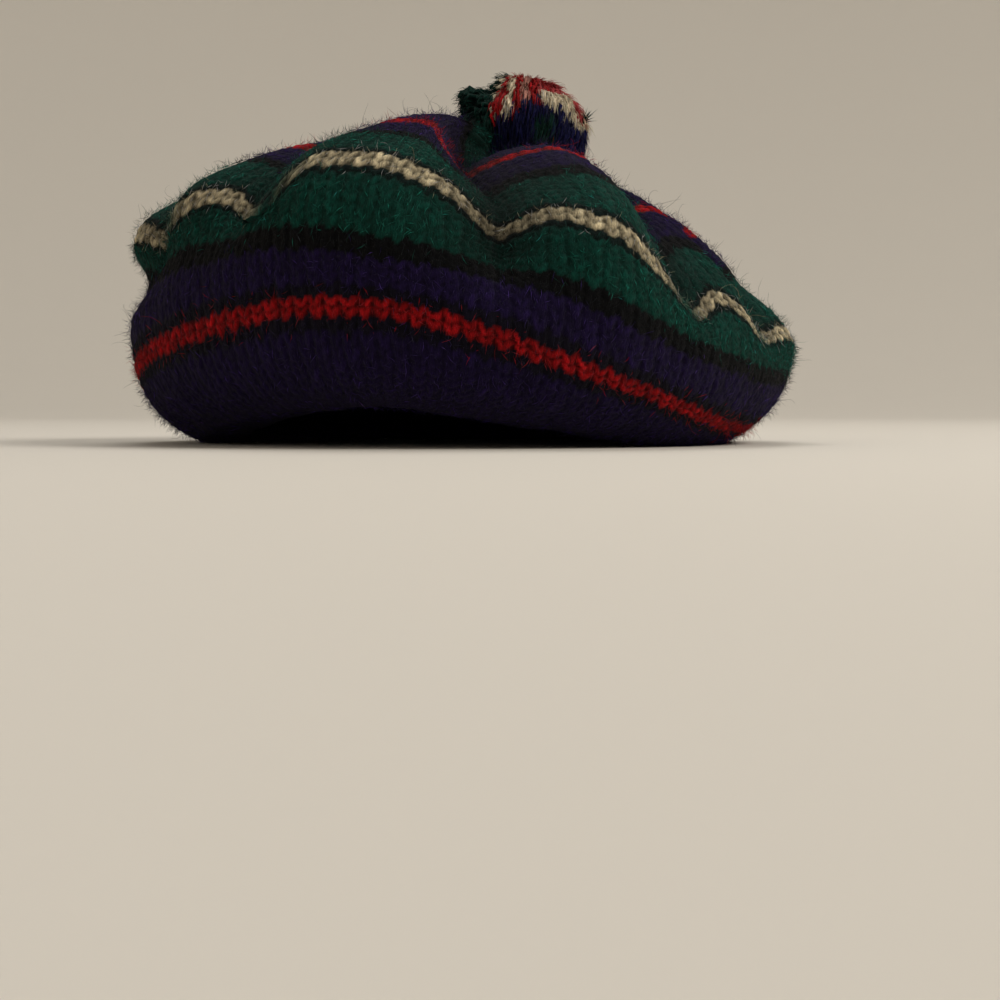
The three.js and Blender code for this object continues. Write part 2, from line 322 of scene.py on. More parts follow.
def crown_at(angle, share):
    """The crown's smooth outside in millimetres, before it is centred."""
    flat = section_at(share)
    slope = section_at(share + 1e-4) - section_at(share - 1e-4)
    slope /= np.linalg.norm(slope, axis=-1, keepdims=True) + 1e-12
    radius = flat[..., 0]
    height = np.maximum(0, flat[..., 1] - PRESS_DEPTH)
    rise = height / CROWN_HEIGHT
    puff = PUFF_HEIGHT * eased_between(LOBES, angle) * smooth(rise, *LOBE_RANGE)
    puff = puff * smooth(radius / BRIM_RADIUS, *LOBE_REACH)
    fold, swing = fold_at(angle, radius, rise)
    facing = np.radians(angle + swing)
    out, up = slope[..., 1], -slope[..., 0]
    radius = radius + out * (puff * PUFF_OUTWARD - fold * FOLD_OUTWARD)
    height = height + puff * (PUFF_RISE + (1 - PUFF_RISE) * up)
    height = np.maximum(0, height - fold * (FOLD_RISE + (1 - FOLD_RISE) * up))
    rise = height / CROWN_HEIGHT
    for start, spread, level, reach, depth in DENTS:
        radius = radius - depth * hill(turn_between(angle, start), spread) * hill(rise - level, reach)
    x = radius * np.sin(facing)
    y = -radius * np.cos(facing)
    lean = -x * math.tan(math.radians(SIDE_LEAN)) - y * math.tan(math.radians(BACK_LEAN))
    arch = FRONT_ARCH * hill(turn_between(angle, ARCH_ANGLE), ARCH_SPREAD)
    arch = arch * (ARCH_UNDER + (1 - ARCH_UNDER) * smooth(rise, *ARCH_RANGE))
    arch = arch * (1 - (1 - ARCH_OVER) * smooth(rise, *FADE_RANGE))
    z = np.maximum(0, height + smooth(rise, *LEAN_RANGE) * lean + arch)
    return np.stack([x + SLOUCH * rise ** SLOUCH_POWER, y, z], -1)


def crown_centre():
    """How far the crown moves sideways to lie where its solid does."""
    angle, share = np.meshgrid(np.arange(0, 360, 1.0), np.linspace(0, 1, 240), indexing="ij")
    points = crown_at(angle, share).reshape(-1, 3)
    middle = (points.min(0) + points.max(0)) / 2
    low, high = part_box("crown")
    target = (np.array(low) + np.array(high)) / 2 / MM
    return np.array([target[0] - middle[0], target[1] - middle[1], 0])


CENTRE = crown_centre()


def waves(seed, count, turns, runs):
    """A smooth random field over angle and course."""
    own = np.random.default_rng(seed)
    around = own.integers(1, turns, count)
    along = own.uniform(-runs, runs, count)
    phase = own.uniform(0, 2 * np.pi, count)

    def field(angle, course):
        total = 0
        for a, b, p in zip(around, along, phase):
            total = total + np.sin(a * np.radians(angle) + b * course + p)
        return total / math.sqrt(count)

    return field


row_wander = waves(3, 7, 14, 0.16)
wool_swell = waves(5, 14, 34, 0.5)
stitch_lean = waves(8, 12, 120, 2.6)
stitch_sag = waves(9, 12, 120, 2.6)


def squeezed(course):
    """The lower red stripe's courses lie closer together than the rest, the cream ones further apart."""
    place = course
    for middle, share in SQUEEZES:
        off = course - middle
        place = place - share * off * np.exp(-(off / SQUEEZE_SPREAD) ** 2)
    return place


def slip_at(angle, course):
    """The stripes' slip, easing from each of its courses to the next."""
    none = 0 * angle
    columns = [none]
    for k in range(1, len(STRIPE_SLIP[0])):
        columns.append(eased_between([(row[0], row[k]) for row in STRIPE_SLIP], angle))
    columns.append(none)
    slip = 0
    last = len(SLIP_COURSES) - 1
    for k, here in enumerate(SLIP_COURSES):
        before = smooth(course, SLIP_COURSES[k - 1], here) if k else 1.0
        after = 1 - smooth(course, here, SLIP_COURSES[k + 1]) if k < last else 1.0
        slip = slip + columns[k] * before * after
    return slip


def share_at(angle, course):
    """Where a course lies on the section, with the stripes slipped as in the picture."""
    wander = ROW_WANDER * row_wander(angle, course)
    wander = wander * smooth(course, *WANDER_RISE) * (1 - smooth(course, *WANDER_FALL))
    place = squeezed(course) + slip_at(angle, course) + wander
    return np.interp(place / COURSES, ARC_LENGTHS, ARC_SHARES)


def surface(angle, course):
    return crown_at(angle, share_at(angle, course)) + CENTRE


def upward(angle, course, step):
    """The way up the wall, from a step below to a step above, in courses."""
    return (surface(angle, np.minimum(COURSES, course + step))
            - surface(angle, np.maximum(0, course - step)))


def fold_light(angle, course):
    """How much light reaches the wool: less in the folds, down to FOLD_DARK at their bottom."""
    flat = section_at(share_at(angle, course))
    reach = flat[..., 0] / BRIM_RADIUS
    rise = flat[..., 1] / CROWN_HEIGHT
    shut = 0
    for start, depth, width, low, inner, _ in FOLDS:
        near = np.maximum(0, 1 - np.abs(turn_between(angle, start)) / (FOLD_SHADE_SHARE * width))
        rising = smooth(rise, low, low + FOLD_AFTER)
        closing = smooth(reach, inner, inner + FOLD_AFTER)
        shut = shut + depth * near ** FOLD_SHADE_POWER * rising * closing
    return 1 - (1 - FOLD_DARK) * np.minimum(1, shut)


def normals_of(angle, course):
    """Outward normals of the smooth surface, by small steps along it."""
    angle_step = 0.25
    course_step = 0.06
    around = surface(angle + angle_step, course) - surface(angle - angle_step, course)
    return unit(np.cross(around, upward(angle, course, course_step)))


def stripe_of(row):
    ends = np.array([end for _, end in STRIPES])
    return np.searchsorted(ends, np.clip(row, 0, COURSES - 1), side="right")


STRIPE_COLOURS = np.array([linear(YARNS[name]) for name, _ in STRIPES])

# How clearly the stitches show, in their relief and in the painted shade between their legs: the red and
# cream stripes are less felted
FELTED_CRISPNESS = 0.25
STRIPE_CRISPNESS = np.array([1.0 if name in ("red", "cream") else FELTED_CRISPNESS
                             for name, _ in STRIPES])

# Where the cream stripe sinks under the green wool's fuzz, between the lobes: angle, spread, depth
CREAM_STRIPE = [name for name, _ in STRIPES].index("cream")
FADES = [(-33, 10, 1.0), (-60, 8, 0.95), (40, 7, 1.0), (60.5, 4, 0.9)]


def wool_colour(angle, stripe):
    fade = 0
    for middle, spread, depth in FADES:
        fade = fade + depth * hill(turn_between(angle, middle), spread)
    fade = (fade * (stripe == CREAM_STRIPE))[..., None]
    return STRIPE_COLOURS[stripe] * (1 - fade) + linear(YARNS["green"]) * fade


def knit_relief(wale, course, wales):
    """Height of the stitches' legs from 0 to 1, each point's row, and a number for its leg."""
    u = wale % 1
    column = np.floor(wale).astype(int) % wales
    top = np.full(wale.shape, 0.0)
    owner = np.floor(course).astype(int)
    leg_id = np.zeros(wale.shape, int)
    for back in (1, 0, -1):
        row = np.floor(course).astype(int) - back
        w = course - row
        progress = np.clip((w - LEG_START) / (LEG_END - LEG_START), 0, 1)
        along = np.sin(np.pi * progress) ** LEG_ROUNDNESS * (w > LEG_START) * (w < LEG_END)
        for side in (-1, 1):
            middle = 0.5 + side * (LEG_GAP + LEG_LEAN * w)
            across = 1 - ((u - middle) / LEG_HALF_WIDTH) ** 2
            height = along * np.sqrt(np.maximum(0, across)) * (LEG_RISE - LEG_DROP * w)
            better = height > top
            top = np.where(better, height, top)
            owner = np.where(better, row, owner)
            leg_id = np.where(better, (column * 2 + (side > 0)) * LEG_STRIDE + row, leg_id)
    return top, owner, leg_id


def mesh_object(name, points, faces, colours=None, uvs=None):
    """A mesh from arrays: faces is a list of index arrays, one for each count of corners."""
    mesh = bpy.data.meshes.new(name)
    mesh.vertices.add(len(points))
    mesh.vertices.foreach_set("co", (np.asarray(points) * MM).astype(np.float32).ravel())
    corners = np.concatenate([block.ravel() for block in faces])
    sizes = np.concatenate([np.full(len(block), block.shape[1]) for block in faces])
    mesh.loops.add(len(corners))
    mesh.loops.foreach_set("vertex_index", corners.astype(np.int32))
    mesh.polygons.add(len(sizes))
    starts = np.concatenate([[0], np.cumsum(sizes)[:-1]])
    mesh.polygons.foreach_set("loop_start", starts.astype(np.int32))
    mesh.polygons.foreach_set("use_smooth", np.ones(len(sizes), bool))
    if colours is not None:
        layer = mesh.color_attributes.new("wool", "FLOAT_COLOR", "POINT")
        rgba = np.concatenate([colours, np.ones((len(colours), 1))], 1)
        layer.data.foreach_set("color", rgba.astype(np.float32).ravel())
    for layer_name, values in (uvs or {}).items():
        layer = mesh.uv_layers.new(name=layer_name)
        layer.data.foreach_set("uv", values.astype(np.float32).ravel())
    mesh.update(calc_edges=True)
    mesh.validate()
    obj = bpy.data.objects.new(name, mesh)
    bpy.context.scene.collection.objects.link(obj)
    return obj


def leg_shades(ids):
    table = np.random.default_rng(SHADE_SEED).normal(0, 1, SHADE_COUNT)
    return table[ids % SHADE_COUNT]


def ring_grid(start, end, rows, ring, wales):
    """Courses, angles and places in stitches of a closed ring of points between two courses."""
    wale = np.arange(ring)[None, :] / (ring // wales) + np.zeros((rows, 1))
    course = np.linspace(start, end, rows)[:, None] + np.zeros((1, ring))
    return wale, course, 360 * wale / wales


def outer_skin(start, end, wales, across, along):
    """Points and colours of the knit's outside, in rows round the crown."""
    wale, course, angle = ring_grid(start, end, (end - start) * along + 1, wales * across, wales)
    base = surface(angle, course)
    reach = np.hypot(base[..., 0] - CENTRE[0], base[..., 1] - CENTRE[1])
    size = np.clip(2 * np.pi * reach / wales / STITCH_WIDTH, SMALLEST_STITCH, 1)
    leaning = wale + STITCH_LEAN * stitch_lean(angle, course)
    sagging = course + STITCH_SAG * stitch_sag(angle, course)
    relief, owner, leg = knit_relief(leaning, sagging, wales)
    shade = leg_shades(leg)
    stripe = stripe_of(owner)
    crisp = STRIPE_CRISPNESS[stripe]
    height = size * (FELTED_RELIEF + (1 - FELTED_RELIEF) * crisp)
    height = height * (relief * (1 + LEG_UNEVENNESS * shade) - WALL_LEVEL)
    height = height + WOOL_SWELL * wool_swell(angle, course)
    height = height + SAG_SWELL * stitch_sag(angle * 2, course)
    points = base + normals_of(angle, course) * height[..., None]
    points[..., 2] = np.maximum(points[..., 2], OUTSIDE_FLOOR)

    # Painted shade: the colour is darker between the legs and lighter on them, and darker in the folds
    felted = FELTED_SHADE_LOW + FELTED_SHADE_GAIN * relief
    open_knit = OPEN_SHADE_LOW + OPEN_SHADE_GAIN * relief ** OPEN_SHADE_POWER
    bright = felted + (open_knit - felted) * crisp
    bright = bright * np.exp((LEG_CONTRAST + CRISP_CONTRAST * crisp) * shade)
    bright = bright * fold_light(angle, course)
    return points, wool_colour(angle, stripe) * bright[..., None]


def inner_skin(start, end, wales, across):
    """Points and colours of the knit's inside: one row of points to a course, with purl ridges."""
    wale, course, angle = ring_grid(start, end, (end - start) + 1, wales * across, wales)
    purl = PURL_HEIGHT * np.sin(2 * np.pi * wale) * np.cos(np.pi * course)
    depth = WALL - INSIDE_LIFT + purl
    points = surface(angle, course) - normals_of(angle, course) * depth[..., None]
    points[..., 2] = np.maximum(points[..., 2], INSIDE_FLOOR)
    stripe = stripe_of(np.floor(course).astype(int))
    return points, STRIPE_COLOURS[stripe] * INSIDE_BRIGHTNESS


def ring_quads(rows, ring, first, flip):
    low = first + np.arange(rows - 1)[:, None] * ring
    here = low + np.arange(ring)[None, :]
    after = low + (np.arange(ring)[None, :] + 1) % ring
    quads = np.stack([here, after, after + ring, here + ring], -1).reshape(-1, 4)
    return quads[:, ::-1] if flip else quads


def ring_uv(rows, ring, start, end, flip):
    i = np.arange(rows - 1)[:, None] + np.zeros((1, ring), int)
    j = np.arange(ring)[None, :] + np.zeros((rows - 1, 1), int)
    u0, u1 = j / ring, (j + 1) / ring
    v0 = start + (end - start) * i / (rows - 1)
    v1 = start + (end - start) * (i + 1) / (rows - 1)
    corners = [(u0, v0), (u1, v0), (u1, v1), (u0, v1)]
    uv = np.stack([np.stack(corner, -1) for corner in corners], -2).reshape(-1, 4, 2)
    return uv[:, ::-1] if flip else uv


def rim_faces(outer_first, inner_first, ring, inner_ring, level, flip):
    """Triangles that close the wall between its outside and its coarser inside, and their UVs."""
    ratio = ring // inner_ring
    here = np.arange(inner_ring)
    inside = inner_first + here
    faces, uvs = [], []
    for k in range(ratio):
        a = here * ratio + k
        faces.append(np.stack([outer_first + a, outer_first + (a + 1) % ring, inside], -1))
        uvs.append(np.stack([a / ring, (a + 1) / ring, a / ring], -1))
    last = (here * ratio + ratio) % ring
    faces.append(np.stack([outer_first + last, inner_first + (here + 1) % inner_ring, inside], -1))
    uvs.append(np.stack([(here + 1) / inner_ring, (here + 1) / inner_ring, here / inner_ring], -1))
    faces = np.concatenate(faces)
    uvs = np.concatenate(uvs)
    uvs = np.stack([uvs, np.full_like(uvs, level)], -1)
    return (faces[:, ::-1], uvs[:, ::-1]) if flip else (faces, uvs)


def sharpen_rims(obj, rows, ring, total):
    """Sharp edges where the outside ends, so that bands meet without a soft shadow."""
    edges = np.empty(len(obj.data.edges) * 2, int)
    obj.data.edges.foreach_get("vertices", edges)
    edges = edges.reshape(-1, 2)
    rim = np.zeros(total, int)
    rim[:ring] = 1
    rim[(rows - 1) * ring:rows * ring] = 2
    sharp = (rim[edges[:, 0]] > 0) & (rim[edges[:, 0]] == rim[edges[:, 1]])
    layer = obj.data.attributes.new("sharp_edge", "BOOLEAN", "EDGE")
    layer.data.foreach_set("value", sharp)


def knit_band(name, start, end, wales, across, along, inner_across):
    """A closed ring of the knitted wall between two courses."""
    outer, colour = outer_skin(start, end, wales, across, along)
    inner, inner_colour = inner_skin(start, end, wales, inner_across)
    rows, ring = outer.shape[:2]
    inner_rows, inner_ring = inner.shape[:2]
    first_inner = rows * ring
    last_inner = first_inner + (inner_rows - 1) * inner_ring
    low_rim, low_uv = rim_faces(0, first_inner, ring, inner_ring, start, True)
    high_rim, high_uv = rim_faces((rows - 1) * ring, last_inner, ring, inner_ring, end, False)
    faces = [ring_quads(rows, ring, 0, False),
             ring_quads(inner_rows, inner_ring, first_inner, True),
             np.concatenate([low_rim, high_rim])]
    uvs = [ring_uv(rows, ring, start, end, False),
           ring_uv(inner_rows, inner_ring, start, end, True),
           np.concatenate([low_uv, high_uv])]
    knit = np.concatenate([uv.reshape(-1, 2) for uv in uvs]) * np.array([wales, 1])
    points = np.concatenate([outer.reshape(-1, 3), inner.reshape(-1, 3)])
    colours = np.concatenate([colour.reshape(-1, 3), inner_colour.reshape(-1, 3)])
    obj = mesh_object(name, points, faces, colours, {"knit": knit})
    sharpen_rims(obj, rows, ring, len(points))
    return obj


# Fibres have three sides, and thin to this share of their width
HAIR_SIDES = 3
HAIR_END = 0.6


def frame_of(paths, spin):
    """Directions along paths, and two square to them that a random spin sets."""
    tangent = unit(np.gradient(paths, axis=1))
    side = unit(np.cross(tangent, spin))
    return tangent, side, np.cross(tangent, side)


def hairs(name, paths, radius, colours):
    """Fine closed fibres: pointed at both ends, three-sided between."""
    count, steps, _ = paths.shape
    _, side, other = frame_of(paths, rng.normal(size=(count, 1, 3)))
    taper = np.linspace(1.0, HAIR_END, steps - 2)[None, :, None]
    rings = []
    for k in range(HAIR_SIDES):
        turn = 2 * np.pi * k / HAIR_SIDES
        out = math.cos(turn) * side[:, 1:-1] + math.sin(turn) * other[:, 1:-1]
        rings.append(paths[:, 1:-1] + radius[:, None, None] * taper * out)
    body = np.stack(rings, 2)
    each = 2 + HAIR_SIDES * (steps - 2)
    points = np.concatenate([paths[:, :1], body.reshape(count, -1, 3), paths[:, -1:]], 1)
    local = []
    for k in range(HAIR_SIDES):
        n = (k + 1) % HAIR_SIDES
        local.append((0, 1 + n, 1 + k))
        for s in range(steps - 3):
            a = 1 + HAIR_SIDES * s + k
            b = 1 + HAIR_SIDES * s + n
            local.append((a, b, b + HAIR_SIDES))
            local.append((a, b + HAIR_SIDES, a + HAIR_SIDES))
        tail = 1 + HAIR_SIDES * (steps - 3)
        local.append((tail + k, tail + n, each - 1))
    faces = (np.arange(count) * each)[:, None, None] + np.array(local)[None]
    shade = np.repeat(colours, each, axis=0)
    return mesh_object(name, points.reshape(-1, 3), [faces.reshape(-1, 3)], shade)


def scatter(count, seed, low=0.0, high=COURSES):
    """Random places spread evenly over the crown's area, kept from four times as many tries."""
    own = np.random.default_rng(seed)
    tries = count * 4
    angle = own.uniform(-180, 180, tries)
    course = own.uniform(low, high, tries)
    point = surface(angle, course)
    reach = np.hypot(point[:, 0] - CENTRE[0], point[:, 1] - CENTRE[1])
    keep = own.uniform(0, BRIM_RADIUS, tries) < reach
    return angle[keep][:count], course[keep][:count], own


def curling_paths(root, start, length, curl, steps, own):
    """Paths that set out one way and curl round as they go."""
    count = len(root)
    axis = own.normal(size=(count, 3))
    axis /= np.linalg.norm(axis, axis=-1, keepdims=True)
    path = np.zeros((count, steps, 3))
    path[:, 0] = root
    heading = unit(start)
    for i in range(1, steps):
        path[:, i] = path[:, i - 1] + heading * (length / (steps - 1))[:, None]
        jitter = own.normal(0, CURL_JITTER, (count, 3))
        heading = heading + curl[:, None] * np.cross(axis, heading) + jitter
        heading /= np.linalg.norm(heading, axis=-1, keepdims=True)
    return path


# Fibres: the courses that give the way up the knit, how far they turn from it, in radians, how
# uneven their curl is, how far their roots stand off the knit and they keep off the floor, and
# how far the stripes blend, in courses
FIBRE_STEP = 0.3
FIBRE_TURN = 0.65
CURL_JITTER = 0.12
ROOT_LIFT = 0.2
FIBRE_FLOOR = 0.1
STRIPE_BLEND = 0.6

# Their colours: how uneven they are, the light that every fibre catches, and the brightest
FIBRE_CONTRAST = 0.6
FIBRE_GLEAM = 0.0006
FIBRE_BRIGHTEST = 0.34


def crown_fibres(name, count, seed, length, stand, curl, steps, radius, glint, low, high):
    """Brushed fibres that lie along the knit, or stand off it where stand is large."""
    angle, course, own = scatter(count, seed, low, high)
    count = len(angle)
    root = surface(angle, course)
    normal = normals_of(angle, course)
    up = unit(upward(angle, course, FIBRE_STEP))
    side = np.cross(up, normal)
    heading = own.normal(0, FIBRE_TURN, count) + np.where(own.uniform(size=count) < 0.5, 0, np.pi)
    flat = np.cos(heading)[:, None] * up + np.sin(heading)[:, None] * side
    rise = own.uniform(*stand, count)
    start = flat * (1 - rise)[:, None] + normal * rise[:, None]
    path = curling_paths(root + ROOT_LIFT * normal, start, own.uniform(*length, count),
                         own.uniform(*curl, count), steps, own)
    path[..., 2] = np.maximum(path[..., 2], FIBRE_FLOOR)
    row = np.floor(course + own.normal(0, STRIPE_BLEND, count)).astype(int)
    bright = own.lognormal(0, FIBRE_CONTRAST, count) * glint * fold_light(angle, course)
    tint = (wool_colour(angle, stripe_of(row)) + FIBRE_GLEAM) * bright[:, None]
    return hairs(name, path, own.uniform(*radius, count), np.clip(tint, 0, FIBRE_BRIGHTEST))


def yarn_tubes(name, paths, radii, sides, colours):
    """Closed tapering tubes with round sections along many paths, with a colour for each step."""
    count, steps, _ = paths.shape
    spin = np.random.default_rng(21).normal(size=(count, 1, 3))
    tangent, side, other = frame_of(paths, spin)
    turn = 2 * np.pi * np.arange(sides) / sides
    ring = (np.cos(turn)[None, None, :, None] * side[:, :, None]
            + np.sin(turn)[None, None, :, None] * other[:, :, None])
    body = paths[:, :, None] + radii[:, :, None, None] * ring
    tips = np.stack([paths[:, 0] - tangent[:, 0] * radii[:, :1],
                     paths[:, -1] + tangent[:, -1] * radii[:, -1:]], 1)
    points = np.concatenate([body.reshape(count, -1, 3), tips], 1)
    each = steps * sides + 2
    quads, tris = [], []
    for k in range(sides):
        n = (k + 1) % sides
        for s in range(steps - 1):
            low = s * sides
            high = low + sides
            quads.append((low + k, low + n, high + n, high + k))
        tris.append((n, k, steps * sides))
        tail = (steps - 1) * sides
        tris.append((tail + k, tail + n, steps * sides + 1))
    first = (np.arange(count) * each)[:, None, None]
    faces = [(first + np.array(quads)[None]).reshape(-1, 4),
             (first + np.array(tris)[None]).reshape(-1, 3)]
    rows = np.repeat(colours, sides, axis=1)
    shade = np.concatenate([rows, colours[:, :1], colours[:, -1:]], 1).reshape(-1, 3)
    return mesh_object(name, points.reshape(-1, 3), faces, shade)


# The pompom: how many strands, locks that they gather into, fluff fibres and stray ends
POMPOM_STRANDS = 2500
POMPOM_LOCKS = 70
POMPOM_FLUFF = 7600
STRAY_ENDS = 22
STRAND_SIDES = 4
STRAND_STEPS = 5
FLUFF_STEPS = 4

# Directions from its middle: where the strands part at the top, and the axes of the streaks
POMPOM_TOP = np.array([0.1, 0.48, 0.87])
POMPOM_SIDE = np.array([0.99, 0.0, -0.11])
POMPOM_FRONT = np.array([-0.05, -0.87, 0.48])

# How far it tips back, and the lowest that strands come out at, as a share of the way down
POMPOM_TIP_BACK = 0.06
LOWEST_STRAND = -0.82

# Its yarns, of which the green is darker than the crown's
STRAND_COLOURS = {
    "green": linear(YARNS["green"]) * 0.55,
    "navy": linear(YARNS["navy"]),
    "cream": linear((180, 166, 142)),
    "red": linear(YARNS["red"]),
    "rose": linear(YARNS["rose"]),
    "pink": linear((150, 104, 92)),
}

# The pompom's streaks from left to right: colour, and the turn that it ends at
STREAKS = [
    ("green", -34), ("cream", -26), ("red", -18), ("cream", -12), ("red", -4), ("pink", 3),
    ("red", 14), ("rose", 20), ("red", 30), ("rose", 180),
]

# Its navy yarn ends at this height, and the cream patch over it is this high: side, height
NAVY_EDGE = [(-0.45, 0.12), (-0.26, 0.24), (0.08, 0.46), (0.36, 0.5), (0.76, 0.27), (0.95, 0.05)]
CREAM_EDGE = [(0.24, 0), (0.34, 0.24), (0.76, 0.36), (0.95, 0.2)]
CREAM_START = 0.3

# A green patch low at the front: its side, half width and height, and the green of the left side
GREEN_PATCH = (0.33, 0.13, 0.22)
GREEN_LEFT = -0.45
GREEN_BACK = 0.2

# Patches at its back: turn from straight behind, and colour
BACK_PATCHES = [(-48, -30, "cream"), (-30, -8, "red"), (22, 40, "cream"), (40, 58, "rose")]
BACK_PATCH_LOW = -0.2
BACK_PATCH_HIGH = 0.6

# The left side is a tuft that is combed less and gathers more: where it starts, in shares
TUFT_RANGE = (0.35, 0.6)

# How far strands are combed down from the top, in radians, and how far of that their colour moves
COMB_SHARE = 0.95
COMB_LIMIT = 0.75
TUFT_COMB = 0.25
COLOUR_COMB = 0.2

# How strands gather into locks, and how much the locks and the strands differ in length
LOCK_PULL = 0.04
TUFT_PULL = 0.24
LOCK_SPREAD = 0.03
LENGTH_SPREAD = 0.02

# How far directions and colours stray, as shares of the radius, and strands, in millimetres
DIRECTION_JITTER = 0.03
COLOUR_JITTER = 0.025
STRAND_WANDER = 0.35

# A strand starts at this share of the way out, and is all the way out before its end
STRAND_START = 0.5
STRAND_HASTE = 1.25

# A strand's half width at its root, near its end and at its end, and how that differs
STRAND_ROOT = 0.85
STRAND_TIP = 0.6
STRAND_POINT = 0.22
STRAND_WIDTHS = (0.8, 1.15)

# Its brightness from root to end, darker at the root as painted shade deep inside it, how uneven that is
# from strand to strand, and the brightest
STRAND_ROOT_SHADE = (0.5, 1.05)
STRAND_CONTRAST = 0.16
STRAND_BRIGHTEST = 0.9

# The pompom's uneven outline from the front, a corner and a dip: turn, spread, swell
OUTLINE_SWELLS = [(142, 17, 0.17), (120, 13, -0.1)]
OUTLINE_RANGE = (0.5, 0.9)

# Fluff along the strands: the least that it lifts off them, how much more it can, as shares of
# the pompom's radius, and how much of that it has reached at each step
FLUFF_LOW = 0.02
FLUFF_GAIN = 0.09
FLUFF_LIFTS = np.array([-0.02, 0.5, 0.85, 1.0])

# How far it is combed, and raised at its tip, in radians, and how far it strays, in millimetres
FLUFF_COMB = 0.32
FLUFF_RAISE = 0.05
FLUFF_WANDER = 0.3

# Its colours: how much lighter, as painted sheen, and how uneven, the light that all of it catches, the
# brightest
FLUFF_LIGHT = 0.15
FLUFF_CONTRAST = 0.35
FLUFF_GLEAM = 0.002
FLUFF_BRIGHTEST = 0.6

# Half widths of the fluff and of the stray ends, in millimetres
FLUFF_WIDTHS = (0.07, 0.12)
STRAY_WIDTH = 0.3


def edge_height(edge, side):
    return np.interp(side, [place for place, _ in edge], [height for _, height in edge])


def pompom_frame():
    """The pompom's middle, its half sizes and the way that it points."""
    low, high = (np.array(corner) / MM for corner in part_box("pompom"))
    lean = math.radians(SIDE_LEAN)
    up = unit(np.array([math.sin(lean), POMPOM_TIP_BACK, math.cos(lean)]))
    return (low + high) / 2, (high - low) / 2, up


def pompom_colour(direction, own):
    """The yarn's colour by where it comes out, as the picture shows it."""
    x, y, z = (direction + own.normal(0, COLOUR_JITTER, direction.shape)).T
    turn = np.degrees(np.arctan2(direction @ POMPOM_SIDE, direction @ POMPOM_FRONT))
    streak = np.array([name for name, _ in STREAKS])
    ends = np.array([end for _, end in STREAKS])
    pick = streak[np.clip(np.searchsorted(ends, turn), 0, len(ends) - 1)]
    navy_edge = edge_height(NAVY_EDGE, x)
    pick = np.where((x > CREAM_START) & (z < navy_edge + edge_height(CREAM_EDGE, x)), "cream", pick)
    pick = np.where(z < navy_edge, "navy", pick)
    middle, half, top = GREEN_PATCH
    pick = np.where((np.abs(x - middle) < half) & (z < top), "green", pick)
    pick = np.where((x < GREEN_LEFT) | ((y > 0) & (x < GREEN_BACK)), "green", pick)
    around = np.degrees(np.arctan2(x, y))
    level = (z > BACK_PATCH_LOW) & (z < BACK_PATCH_HIGH)
    for start, end, name in BACK_PATCHES:
        pick = np.where((around > start) & (around < end) & level, name, pick)
    names = np.array(list(STRAND_COLOURS))
    colours = np.array(list(STRAND_COLOURS.values()))
    return colours[np.argmax(pick[:, None] == names, axis=1)]


def sphere_directions(count, own):
    """Directions spread evenly over a sphere by the golden angle, a little jittered."""
    k = np.arange(count) + 0.5
    z = 1 - 2 * k / count
    turn = np.pi * (1 + 5 ** 0.5) * k
    ring = np.sqrt(1 - z ** 2)
    even = np.stack([ring * np.cos(turn), ring * np.sin(turn), z], -1)
    return unit(even + own.normal(0, DIRECTION_JITTER, (count, 3)))


def combed(direction, back):
    """Directions moved towards the pompom's top by angles in radians, along its meridians."""
    top = unit(POMPOM_TOP)
    tangent = unit(top - direction * (direction @ top)[:, None])
    return direction * np.cos(back)[:, None] + tangent * np.sin(back)[:, None]


def strand_path(direction, length, steps, comb):
    """From inside the head out to its surface, then down along it."""
    path = np.zeros((len(direction), steps, 3))
    for i, t in enumerate(np.linspace(0, 1, steps)):
        eased = math.sin(math.pi / 2 * min(1, t * STRAND_HASTE))
        out = STRAND_START + (1 - STRAND_START) * eased
        path[:, i] = combed(direction, comb * (1 - t)) * (out * length)[:, None]
    return path


def outline_swell(direction):
    """How much further strands reach at the outline's corner, and less at the dip beside it."""
    x, _, z = direction.T
    turn = np.degrees(np.arctan2(z, x))
    swell = 0
    for middle, spread, share in OUTLINE_SWELLS:
        swell = swell + share * hill(turn - middle, spread)
    return 1 + swell * smooth(np.hypot(x, z), *OUTLINE_RANGE)


